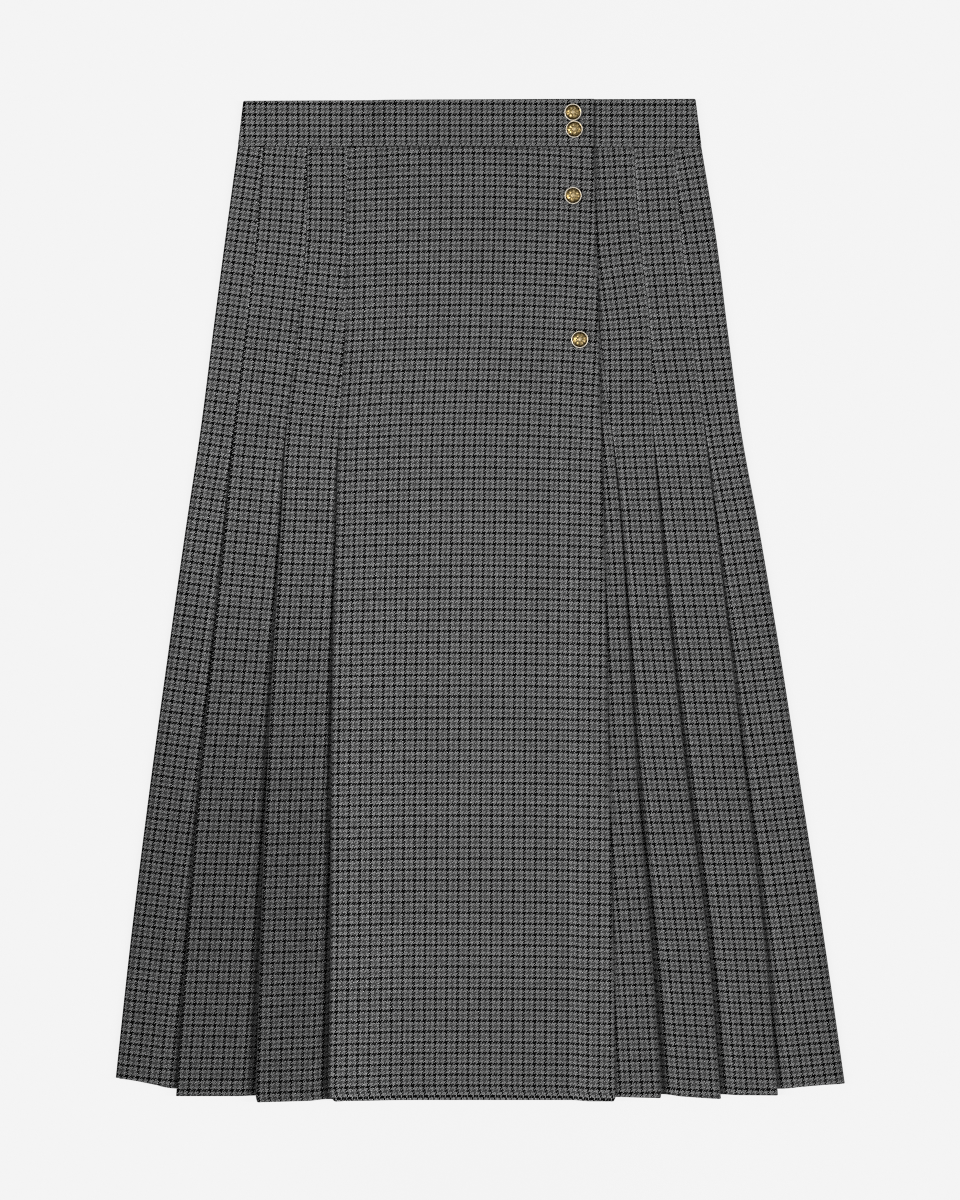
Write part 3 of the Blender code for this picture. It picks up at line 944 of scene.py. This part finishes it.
def old_brass(name, seed):
    """Antique gold plate: pale where it rubs, brown in the hollows."""
    material = bpy.data.materials.new(name)
    net = Net(material)
    where = net.node("ShaderNodeTexCoord").outputs["Object"]
    patina = net.node("ShaderNodeAttribute", attribute_name="patina").outputs["Fac"]
    place = net.node("ShaderNodeVectorMath", where, (seed, seed, seed), operation="ADD").outputs[0]
    specks = net.noise(place, *BRASS_NOISE)
    uneven = net.scaled(specks, BRASS_UNEVEN, -BRASS_UNEVEN / 2)
    rim_kept = net.math("MINIMUM", net.times(patina, RIM_KEPT), 1.0)
    dark = net.scaled(uneven, rim_kept, patina)
    ramp = net.node("ShaderNodeValToRGB")
    stops = ramp.color_ramp.elements
    while len(stops) < len(GOLD_STOPS):
        stops.new(0.5)
    for stop, (patina_there, *colour) in zip(stops, GOLD_STOPS):
        stop.position = patina_there
        stop.color = (*colour, 1.0)
    rough, rougher = BRASS_ROUGH
    metal, more_metal = BRASS_METAL
    net.feed(ramp.inputs["Fac"], dark)
    net.feed(net.shader.inputs["Base Color"], ramp.outputs["Color"])
    net.feed(net.shader.inputs["Roughness"], net.scaled(dark, rougher, rough))
    net.feed(net.shader.inputs["Metallic"], net.scaled(patina, more_metal, metal))
    net.bump(specks, *BRASS_BUMP)
    return material


# ============================== pieces
def cloth_piece(node, columns, sign, first_below=-TUCK):
    sheet = Sheet(columns, sign, first_below + WALL / 2)
    mesh = shell(node + "_cloth", sheet.spot, sheet.half, sheet.grain, flip=sign > 0)
    wool = check_cloth(node + "_wool", PIECE_SEED * len(node), PAINTED_PLEAT_SHADE.get(node, 0.0))
    piece = add_piece(node + "_cloth", mesh, wool, node)


def band_path(share):
    """A row of the waistband, from its free edge once round: across, height and share of thickness."""
    low_z, mid_z, high_z = BAND_Z
    half = BAND_WALL / 2
    reach = half + BAND_TURN
    left = mix(EDGE_X["side_left"][0], BAND_TOP_SIDES[0], share) + reach
    right = mix(EDGE_X["side_right"][0], BAND_TOP_SIDES[1], share) - reach
    free = EDGE_X["free"][0]
    end = EDGE_X["left_3"][0] + UNDERLAP_INSET
    before, width = BAND_DROP
    drop_from = end - before
    drop_to = drop_from - width

    def level(start, stop, z, part, first=1, last=-1):
        shares = even_shares(BAND_STEPS[part])[first:last]
        return [(mix(start, stop, share), z, 1.0) for share in shares]

    def turn(centre, start_degrees):
        made = []
        for share in even_shares(BAND_STEPS["turn"]):
            x, z = half_turn(centre, low_z + BAND_TURN, BAND_TURN, start_degrees, 1, share)
            made.append((x, z, 1.0))
        return made

    path = [(free - short, high_z, fat) for short, fat in reversed(rounding(half))]
    path += level(free - half, drop_from, high_z, "front", first=0)
    for down in even_shares(BAND_STEPS["drop"]):
        path.append((mix(drop_from, drop_to, down), mix(high_z, mid_z, smooth_step(0, 1, down)), 1.0))
    path += level(drop_to, left, mid_z, "left")
    path += turn(left, 90)
    path += level(left, right, low_z, "back")
    path += turn(right, -90)
    path += level(right, end, mid_z, "right", last=None)
    return path


def band_across(xs):
    """The waistband's grain across, mirrored at both side folds so that the check goes on round them."""
    turn_left = int(np.argmin(xs))
    turn_right = int(np.argmax(xs))
    number = np.arange(len(xs))
    on_right = number > (turn_left + turn_right) // 2
    mirrored = np.where(on_right, 2 * xs.max() - xs, 2 * xs.min() - xs)
    return np.where((number <= turn_left) | (number >= turn_right), xs, mirrored)


def band_grid():
    """Places, half thickness and grain of the waistband, in rows from its seam up to its top edge."""
    half = BAND_WALL / 2
    rows = [(short, fat, 0.0) for short, fat in reversed(rounding(half))]
    rows += [(half, 1.0, share) for share in even_shares(BAND_STEPS["up"])]
    rows += [(short, fat, 1.0) for short, fat in rounding(half)]
    spots = []
    halves = []
    grain = []
    for short, fat, share in rows:
        xs, zs, ends = np.array(band_path(share)).T
        height = BAND_HEIGHT + BAND_SPREAD * xs
        up = mix(short, height - short, share)
        spots.append(np.stack((xs, waist_y(xs) + up, zs), axis=-1))
        halves.append(half * fat * ends)
        grain.append(np.stack((band_across(xs), -up), axis=-1))
    return np.array(spots), np.array(halves), np.array(grain)


BUTTON_SIDES = 96
BUTTON_PETALS = 8
BUTTON_SPIN = (0.4, 1.3)      # the first button's turn, and each next one's beyond it
PETAL_RELIEF = 0.12
PETAL_PATINA = 0.14
PETAL_RING = (2.1, 2.8, 4.6, 5.6)    # radii where the petals begin, are full, begin to fade and end
PETALS_ABOVE = 2.2            # they are on the dome, above this height
BUTTON_PROFILE = (            # radius, height and patina, from the shank up to the dome
    (2.2, 0.0, 1.0), (2.2, 1.0, 1.0), (6.6, 1.05, 0.9), (7.1, 1.25, 0.6), (7.35, 1.6, 0.2),
    (7.45, 2.0, 0.0), (7.42, 2.3, 0.0), (7.28, 2.52, 0.0), (7.06, 2.64, 0.0), (6.84, 2.54, 0.0),
    (6.68, 2.36, 0.1), (6.54, 2.1, 0.8), (6.2, 1.92, 1.0), (5.85, 1.96, 1.0), (5.5, 2.18, 0.9),
    (5.1, 2.46, 0.76), (4.6, 2.72, 0.66), (4.1, 2.93, 0.6), (3.6, 3.08, 0.56), (3.1, 3.18, 0.56),
    (2.6, 3.26, 0.6), (2.2, 3.29, 0.65), (1.9, 3.3, 0.65), (1.6, 3.4, 0.45), (1.2, 3.48, 0.3),
    (0.7, 3.51, 0.25), (0.3, 3.52, 0.2),
)


def petal_share(radius, height):
    """How much of their relief the petals have at a point of the button's profile."""
    if height <= PETALS_ABOVE:
        return 0.0
    begin, full, fade, end = PETAL_RING
    return smooth_step(begin, full, radius) * (1 - smooth_step(fade, end, radius))


def button_mesh(name):
    """A turned shank button with a plain rosette raised on its dome."""
    points = []
    patina = []
    for radius, height, dark in BUTTON_PROFILE:
        for side in range(BUTTON_SIDES):
            angle = 2 * math.pi * side / BUTTON_SIDES
            bloom = math.cos(BUTTON_PETALS * angle) * petal_share(radius, height)
            up = height + PETAL_RELIEF * bloom
            points.append((radius * math.cos(angle), radius * math.sin(angle), up))
            patina.append(float(np.clip(dark - PETAL_PATINA * bloom, 0, 1)))
    rings = len(BUTTON_PROFILE)
    faces = []
    for ring in range(rings - 1):
        for side in range(BUTTON_SIDES):
            after = (side + 1) % BUTTON_SIDES
            a = ring * BUTTON_SIDES
            b = a + BUTTON_SIDES
            faces.append((a + side, a + after, b + after, b + side))
    faces.append(tuple(reversed(range(BUTTON_SIDES))))
    faces.append(tuple(range((rings - 1) * BUTTON_SIDES, rings * BUTTON_SIDES)))
    mesh = bpy.data.meshes.new(name)
    mesh.from_pydata([[value * MM for value in point] for point in points], [], faces)
    attribute = mesh.attributes.new("patina", "FLOAT", "POINT")
    attribute.data.foreach_set("value", np.array(patina, np.float32))
    mesh.validate()
    mesh.shade_smooth()
    return mesh


def add_buttons():
    first_turn, next_turn = BUTTON_SPIN
    for number, (node, (x, below)) in enumerate(BUTTONS.items()):
        if below < 0:
            seat = BAND_Z[2] + BAND_WALL / 2
        else:
            seat = float(overlap_height(np.array([x]), np.array([float(below)]))[0]) + WALL / 2
        brass = old_brass(node + "_plate", number)
        piece = add_piece(node + "_brass", button_mesh(node + "_brass"), brass, node)
        piece.location = (x * MM, (waist_y(x) - below) * MM, (seat + AIR) * MM)
        piece.rotation_euler = (0.0, 0.0, first_turn + next_turn * number)


def add_cloth():
    left = pleated_side(("side_left", "left_1", "left_2"), "left_3", 1)
    right = pleated_side(("side_right", "right_3", "right_2", "right_1"), "underlap", -1)
    cloth_piece("back", back_columns(), 1, AIR)
    cloth_piece("left_pleats", left, 1)
    cloth_piece("right_pleats", right, -1)
    cloth_piece("underlap", underlap_columns(), 1, AIR)
    cloth_piece("apron", overlap_columns(), 1)
    mesh = shell("waistband_cloth", *band_grid())
    wool = check_cloth("waistband_wool", BAND_SEED, sewn=False)
    band = add_piece("waistband_cloth", mesh, wool, "waistband")


# ============================== stage
PHOTO_SIZE = (960, 1200)      # pixels
PIXEL = 0.88                  # millimetres of the skirt for each of them
PHOTO_CENTRE = (480.5, 599.75)  # the pixel that shows the middle of the skirt
SCALE_Z = 4.0                 # height at which that scale holds
LENS = 100.0
SENSOR = 36.0
CLIP = (0.1, 20.0)            # metres
FILTER_WIDTH = 1.1            # pixels
BEAM_TILTS = (32, 38, 44, 50, 56, 62)    # degrees from straight down
BEAM_DISTANCE = 6.0           # metres
BEAM_HALF = 40.0              # half angle of a cone
BEAM_RADIUS = 0.09
BEAM_POWER = 191.0
SUN_TILT = 48.0
SUN_ANGLE = 30.0
SUN_STRENGTH = 0.47
SUN_UP = 2.0                  # metres; it makes no difference to the light
CROSSING = 0.08               # both sides' light blends this far each way of the middle
SKY = 0.26
WHITE = (1.0, 1.0, 1.0, 1.0)
FLOOR_SIZE = 30.0             # metres from the middle to each side
FLOOR_DROP = 0.2              # the floor lies this far under the skirt
FLOOR_PAPER = {
    "Base Color": (0.045, 0.045, 0.045, 1.0),
    "Roughness": 0.95,
    "Specular IOR Level": 0.0,
    "Emission Color": WHITE,
    "Emission Strength": 0.862,
}


def add_camera():
    camera = bpy.data.cameras.new("camera")
    camera.lens = LENS
    camera.sensor_width = SENSOR
    distance = PHOTO_SIZE[1] * PIXEL * LENS / SENSOR + SCALE_Z
    camera.clip_start, camera.clip_end = CLIP
    view = place_in_scene("camera", camera)
    x = (PHOTO_SIZE[0] / 2 - PHOTO_CENTRE[0]) * PIXEL
    y = (PHOTO_CENTRE[1] - PHOTO_SIZE[1] / 2) * PIXEL
    view.location = (x * MM, y * MM, distance * MM)
    bpy.context.scene.camera = view


def add_sun(name, azimuth):
    lamp = bpy.data.lights.new(name, "SUN")
    lamp.angle = math.radians(SUN_ANGLE)
    lamp.energy = SUN_STRENGTH
    sun = place_in_scene(name, lamp)
    sun.rotation_euler = (math.radians(SUN_TILT), 0.0, math.radians(azimuth))
    sun.location = (0.0, 0.0, SUN_UP)


def add_beam(name, side, tilt):
    """A soft spot on one side; its cone ends at the middle, so it lights the skirt's far half."""
    across = BEAM_DISTANCE * math.sin(math.radians(tilt))
    up = BEAM_DISTANCE * math.cos(math.radians(tilt))
    first = math.atan2(across - CROSSING, up)
    blend = math.atan2(across + CROSSING, up) - first
    half = math.radians(BEAM_HALF)
    lamp = bpy.data.lights.new(name, "SPOT")
    lamp.energy = BEAM_POWER
    lamp.shadow_soft_size = BEAM_RADIUS
    lamp.spot_size = 2 * half
    lamp.spot_blend = (math.cos(half - blend) - math.cos(half)) / (1 - math.cos(half))
    beam = place_in_scene(name, lamp)
    beam.location = (side * across, 0.0, up)
    beam.rotation_euler = (0.0, side * (first + half), 0.0)


def add_floor():
    far = FLOOR_SIZE
    corners = [(-far, -far, 0), (far, -far, 0), (far, far, 0), (-far, far, 0)]
    mesh = bpy.data.meshes.new("floor")
    mesh.from_pydata(corners, [], [(0, 1, 2, 3)])
    material = bpy.data.materials.new("floor_paper")
    Net(material).settings(FLOOR_PAPER)
    mesh.materials.append(material)
    floor = place_in_scene("floor", mesh)
    floor.location = (0.0, 0.0, -FLOOR_DROP * MM)


def add_light():
    world = bpy.data.worlds.new("studio")
    world.use_nodes = True
    background = world.node_tree.nodes["Background"]
    background.inputs["Color"].default_value = WHITE
    background.inputs["Strength"].default_value = SKY
    bpy.context.scene.world = world
    add_sun("left_light", -90.0)
    add_sun("right_light", 90.0)
    for number, tilt in enumerate(BEAM_TILTS):
        add_beam("left_beam_%d" % number, -1, tilt)
        add_beam("right_beam_%d" % number, 1, tilt)


def main():
    bpy.context.scene.view_settings.view_transform = "Standard"
    bpy.context.scene.cycles.use_denoising = False
    bpy.context.scene.cycles.filter_width = FILTER_WIDTH
    add_camera()
    add_floor()
    add_light()
    add_cloth()
    add_buttons()


main()
